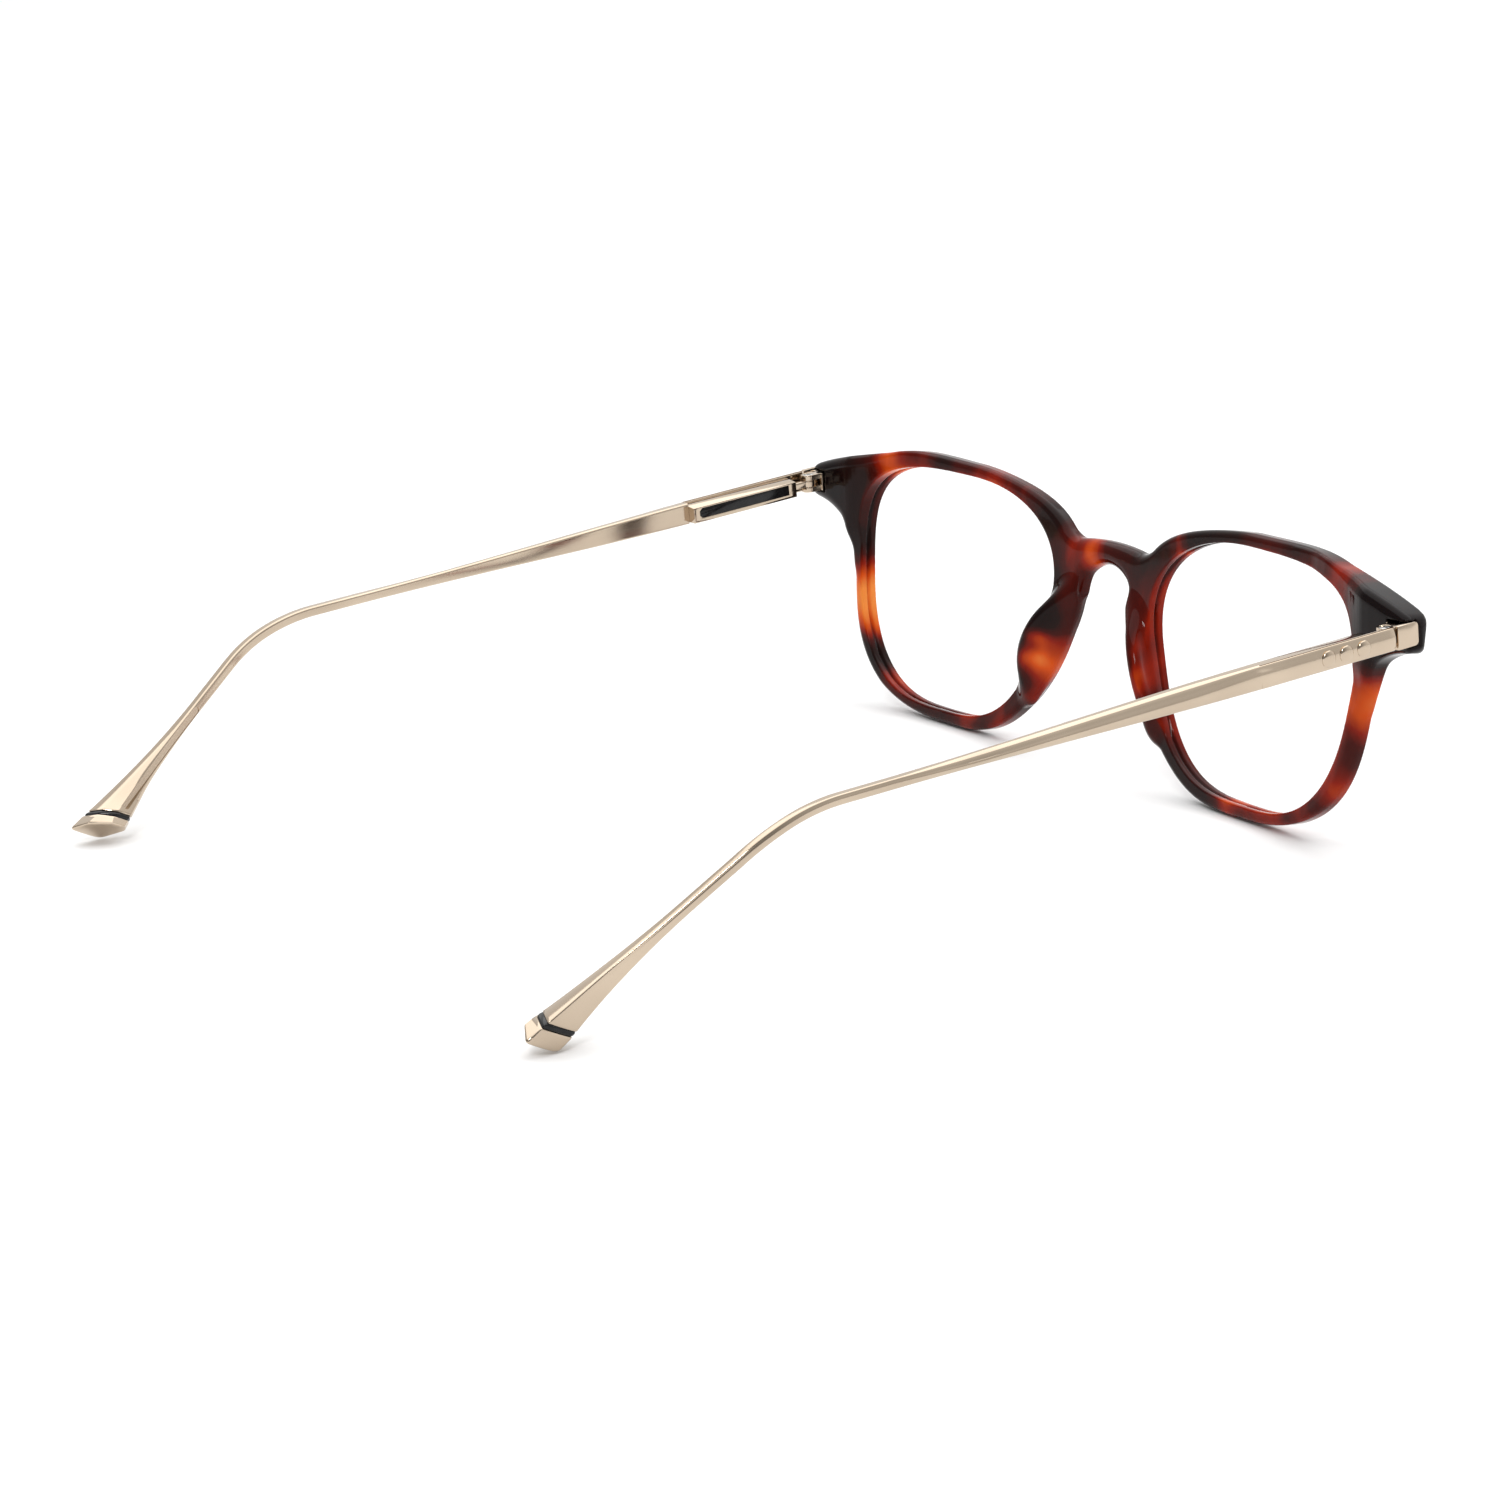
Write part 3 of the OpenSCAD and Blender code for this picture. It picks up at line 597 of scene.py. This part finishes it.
def to_temple(points, side=1):
    """Table frame, m, to the temple frame, mm."""
    front = (np.asarray(points, float) / MM - (0, -BASE_Y, BASE_Z)) @ LEAN
    return (front * (side, 1, 1) - PIN) @ TO_TEMPLE


def round_cap(bm, sign):
    """Rounds the two corners at the front end of a hinge block, as seen from the side."""
    radius, end_slack, edge_slack = 0.6, 0.25, 0.1
    bm.verts.index_update()
    places = to_temple([v.co for v in bm.verts], sign)
    tall = np.abs(places[:, 2]).max() - edge_slack
    corners = []
    for edge in bm.edges:
        a, b = (places[v.index] for v in edge.verts)
        at_front = max(abs(a[1] - BLOCK_FRONT), abs(b[1] - BLOCK_FRONT)) < end_slack
        if at_front and min(abs(a[2]), abs(b[2])) > tall and a[2] * b[2] > 0:
            corners.append(edge)
    bmesh.ops.bevel(bm, geom=corners, offset=radius * MM, segments=6, profile=0.5, affect="EDGES")


def slope_roof(obj, sign):
    """Lowers the top of the housing towards the wearer's head, where it would show above the temple."""
    drop, above, depth = 0.35, 0.95, 2.8
    points = to_temple([v.co for v in obj.data.vertices], sign)
    inward = np.clip((PIN_OFFSET - STRIP_T - points[:, 0]) / depth, 0, 1)
    points[:, 2] -= np.where(points[:, 2] > above, drop * inward, 0)
    obj.data.vertices.foreach_set("co", from_temple(points, sign).astype(np.float32).ravel())
    obj.data.update()


def build_spring(side, sign, material):
    """A real coil in place of the ribbed sleeve. Its front end stands back to leave room for the pull."""
    wire, radius, turns, per_turn = 0.09, 0.46, 28, 20
    stop_face, nut_face, pull, gap = 10.33, 18.4, 1.0, 0.03
    start, stop = stop_face + pull + gap + wire, nut_face - gap - wire
    rings = []
    for i in range(turns * per_turn + 1):
        a = i / per_turn * 2 * math.pi
        u = start + (stop - start) * i / (turns * per_turn)
        out = np.array([math.cos(a), 0, math.sin(a)])
        centre = out * radius + (0, u, 0)
        rings.append(np.array([centre + wire * (out * math.cos(b) + np.array([0, 1, 0]) * math.sin(b))
                               for b in np.arange(8) * math.pi / 4]))
    points, faces = loft(rings)
    obj = add_mesh(f"coil_{side}", from_temple(points, sign), faces, f"slider_link_{side}",
                   material, (f"spring_{side}",), 60)
    facing_out(obj)


def build_studs(side, sign, material):
    """Three shallow domes with a fine step at the foot, and their shanks."""
    shank_r, shank_end, foot_r, face_gap, around = 0.38, -1.05, 1.15, 0.02, 48
    dome_r, dome_h = 1.1, 0.29
    profile = [(shank_r, shank_end), (shank_r, -0.2), (0.98, -0.15), (1.12, -0.06)]
    profile += [(foot_r, 0.0), (1.13, 0.04)]
    profile += [(dome_r * math.cos(a), 0.05 + dome_h * math.sin(a)) for a in np.linspace(0.15, 1.5, 9)]
    points, faces = [], []
    for u in STUDS_AT:
        rings = []
        for b in np.arange(around) * 2 * math.pi / around:
            rings.append(np.array([(PIN_OFFSET + face_gap + h, u + r * math.cos(b), r * math.sin(b))
                                   for r, h in profile]))
        rings = list(np.array(rings).transpose(1, 0, 2))
        some, more = loft(rings)
        faces += [[i + len(points) * len(some) for i in face] for face in more]
        points.append(some)
    obj = add_mesh(f"domes_{side}", from_temple(np.concatenate(points), sign), faces, f"temple_arm_{side}",
                   material, (f"studs_{side}",), 50)
    facing_out(obj)


def build_hardware(gold, steel, enamel):
    for side, sign in SIDES.items():
        arm, link = f"temple_arm_{side}", f"slider_link_{side}"
        bevelled(f"hinge_block_{side}", "front_frame", gold, 0.05, f"block_{side}",
                 lambda bm: round_cap(bm, sign))
        slope_roof(bevelled(f"hinge_housing_{side}", arm, gold, 0.12, f"housing_{side}"), sign)
        bevelled(f"hinge_slider_{side}", link, gold, 0.05, f"slider_{side}")
        bevelled(f"spring_nut_{side}", link, gold, 0.05, f"nut_{side}")
        bevelled(f"block_screw_{side}", "front_frame", steel, 0.05, f"block_bolt_{side}")
        bevelled(f"hinge_screw_{side}", "front_frame", steel, 0.03, f"pin_screw_{side}")
        bevelled(f"plaque_{side}", arm, enamel, 0.03, f"inlay_{side}")
        build_studs(side, sign, gold)
        build_spring(side, sign, steel)


# ---------------------------------------------------------------- materials
def new_material(name, **sockets):
    material = bpy.data.materials.new(name)
    material.use_nodes = True
    shader = material.node_tree.nodes["Principled BSDF"]
    for key, value in sockets.items():
        shader.inputs[key.replace("_", " ")].default_value = value
    return material, material.node_tree, shader


def node(tree, kind, **values):
    made = tree.nodes.new(kind)
    for key, value in values.items():
        if key in made.inputs:
            made.inputs[key].default_value = value
        else:
            setattr(made, key, value)
    return made


def noise(tree, coords, scale, detail=3.0, stretch=(1, 1, 1), distortion=0.0):
    mapping = node(tree, "ShaderNodeMapping")
    mapping.inputs["Scale"].default_value = stretch
    tree.links.new(coords, mapping.inputs["Vector"])
    made = node(tree, "ShaderNodeTexNoise", Scale=scale, Detail=detail, Distortion=distortion)
    tree.links.new(mapping.outputs["Vector"], made.inputs["Vector"])
    return made.outputs["Fac"]


def maths(tree, operation, a, b=None, clamp=False):
    made = node(tree, "ShaderNodeMath", operation=operation, use_clamp=clamp)
    for socket, value in zip(made.inputs, (a, b)):
        if value is None:
            continue
        if isinstance(value, (int, float)):
            socket.default_value = value
        else:
            tree.links.new(value, socket)
    return made.outputs[0]


def ramp(tree, factor, stops):
    made = node(tree, "ShaderNodeValToRGB")
    elements = made.color_ramp.elements
    while len(elements) < len(stops):
        elements.new(0.5)
    for element, (at, color) in zip(elements, stops):
        element.position, element.color = at, (*color, 1)
    tree.links.new(factor, made.inputs["Fac"])
    return made.outputs["Color"]


def attribute(tree, name):
    return node(tree, "ShaderNodeAttribute", attribute_name=name).outputs["Fac"]


def acetate():
    """Havana tortoiseshell: black-brown and deep red clouds with honey and orange patches, high polish."""
    material, tree, shader = new_material("acetate", IOR=1.5, Specular_IOR_Level=0.12,
                                          Subsurface_Weight=0.12, Subsurface_Scale=0.0012)
    shader.inputs["Subsurface Radius"].default_value = (1.0, 0.3, 0.1)
    coords = node(tree, "ShaderNodeTexCoord").outputs["Object"]
    clouds = noise(tree, coords, 80, 1.5, (1.0, 0.5, 0.75), 0.6)
    streaks = noise(tree, coords, 330, 2.0, (1.0, 0.5, 0.45), 0.8)
    mix = maths(tree, "ADD", clouds, maths(tree, "MULTIPLY", streaks, 0.12))
    mix = maths(tree, "SUBTRACT", mix, 0.2)
    # the light attribute also carries the painted highlight on the right rim's top edge
    mix = maths(tree, "ADD", mix, maths(tree, "MULTIPLY", attribute(tree, "light"), 0.3))
    # painted light: lightens the colour on the thin walls of the lens openings
    mix = maths(tree, "ADD", mix, maths(tree, "MULTIPLY", attribute(tree, "wall"), 0.14), clamp=True)
    color = ramp(tree, mix, [(0.0, (0.006, 0.003, 0.003)), (0.26, (0.014, 0.004, 0.003)),
                             (0.42, (0.06, 0.004, 0.002)), (0.55, (0.24, 0.011, 0.002)),
                             (0.72, (0.62, 0.075, 0.006)), (0.92, (0.85, 0.26, 0.05))])
    tree.links.new(color, shader.inputs["Base Color"])
    polish = noise(tree, coords, 900, 2.0)
    rough = maths(tree, "ADD", maths(tree, "MULTIPLY", polish, 0.05), 0.045)
    tree.links.new(rough, shader.inputs["Roughness"])
    bump = node(tree, "ShaderNodeBump", Strength=0.05, Distance=0.0001)
    tree.links.new(noise(tree, coords, 260, 2.0), bump.inputs["Height"])
    tree.links.new(bump.outputs["Normal"], shader.inputs["Normal"])
    return material


def metal(name, dark, light, rough, scratch):
    """Polished metal: faint tint clouds, hairline polishing marks along the part."""
    material, tree, shader = new_material(name, Metallic=1.0)
    coords = node(tree, "ShaderNodeTexCoord").outputs["Object"]
    tint = noise(tree, coords, 60, 2.0)
    tree.links.new(ramp(tree, tint, [(0.3, dark), (0.7, light)]), shader.inputs["Base Color"])
    hair = noise(tree, coords, 5000, 3.0, (1, 0.04, 1))
    level = maths(tree, "ADD", maths(tree, "MULTIPLY", hair, 0.06), rough)
    tree.links.new(level, shader.inputs["Roughness"])
    bump = node(tree, "ShaderNodeBump", Strength=scratch, Distance=0.00001)
    tree.links.new(hair, bump.inputs["Height"])
    tree.links.new(bump.outputs["Normal"], shader.inputs["Normal"])
    return material


def enamel():
    material, tree, shader = new_material("enamel", IOR=1.5, Specular_IOR_Level=0.25, Coat_Weight=0.1,
                                          Coat_Roughness=0.04)
    coords = node(tree, "ShaderNodeTexCoord").outputs["Object"]
    tint = noise(tree, coords, 800, 2.0)
    tree.links.new(ramp(tree, tint, [(0.3, (0.004, 0.004, 0.004)), (0.7, (0.012, 0.012, 0.013))]),
                   shader.inputs["Base Color"])
    tree.links.new(maths(tree, "ADD", maths(tree, "MULTIPLY", tint, 0.12), 0.1), shader.inputs["Roughness"])
    return material


# ---------------------------------------------------------------- stage, light, camera
def build_stage():
    bpy.ops.mesh.primitive_plane_add(size=14, location=(0, 0, 0))
    floor = bpy.context.object
    floor.name = "floor"
    material, tree, shader = new_material("floor", Roughness=0.7)
    shader.inputs["Base Color"].default_value = (0.9, 0.9, 0.9, 1)
    floor.data.materials.append(material)


def area_light(name, at, aim, size, power):
    data = bpy.data.lights.new(name, "AREA")
    data.shape, data.size, data.energy = "DISK", size, power
    lamp = bpy.data.objects.new(name, data)
    bpy.context.scene.collection.objects.link(lamp)
    lamp.location = at
    lamp.rotation_euler = (Vector(aim) - Vector(at)).to_track_quat("-Z", "Y").to_euler()


def build_light():
    bpy.context.scene.view_settings.view_transform = "Standard"
    world = bpy.data.worlds.new("studio")
    bpy.context.scene.world = world
    world.use_nodes = True
    tree = world.node_tree
    coords = node(tree, "ShaderNodeTexCoord").outputs["Generated"]
    toward = node(tree, "ShaderNodeVectorMath", operation="DOT_PRODUCT")
    toward.inputs[1].default_value = (0.35, -0.9, 0.25)
    tree.links.new(coords, toward.inputs[0])
    level = maths(tree, "ADD", maths(tree, "MULTIPLY", toward.outputs["Value"], 0.5), 0.5)
    color = ramp(tree, level, [(0.0, (0.30, 0.30, 0.30)), (0.42, (0.36, 0.36, 0.36)),
                               (0.62, (0.72, 0.72, 0.71)), (0.82, (1.0, 1.0, 1.0))])
    tree.links.new(color, tree.nodes["Background"].inputs["Color"])
    tree.nodes["Background"].inputs["Strength"].default_value = 1.0
    area_light("top", (0.25, -0.15, 1.3), (0, 0, 0.02), 2.4, 18)
    area_light("rear", (-0.9, 0.9, 1.2), (0, 0, 0.02), 0.4, 8)


def build_camera():
    """Behind and above the wearer's right temple tip, as in the product picture."""
    data = bpy.data.cameras.new("camera")
    camera = bpy.data.objects.new("camera", data)
    bpy.context.scene.collection.objects.link(camera)
    place = Vector((-0.5308, 0.35498, 0.18538))
    aim = Vector((0.02914, -0.02391, 0.00397))
    roll = -1.6
    camera.location = place
    look = (aim - place).to_track_quat("-Z", "Y").to_matrix().to_4x4()
    camera.rotation_euler = (look @ Matrix.Rotation(math.radians(roll), 4, "Z")).to_euler()
    data.sensor_width, data.lens = 36, 113.7
    data.shift_x, data.shift_y = -0.0002, 0.0002
    data.clip_start = 0.01
    bpy.context.scene.camera = camera


GOLD = metal("champagne_gold", (0.50, 0.405, 0.31), (0.61, 0.50, 0.385), 0.09, 0.03)
STEEL = metal("nickel", (0.52, 0.51, 0.49), (0.62, 0.61, 0.59), 0.16, 0.3)
ENAMEL = enamel()
build_camera()
build_stage()
build_light()
build_acetate(acetate())
for SIDE, SIGN in SIDES.items():
    build_temple(SIDE, SIGN, GOLD)
    build_band(SIDE, SIGN, ENAMEL)
build_hardware(GOLD, STEEL, ENAMEL)
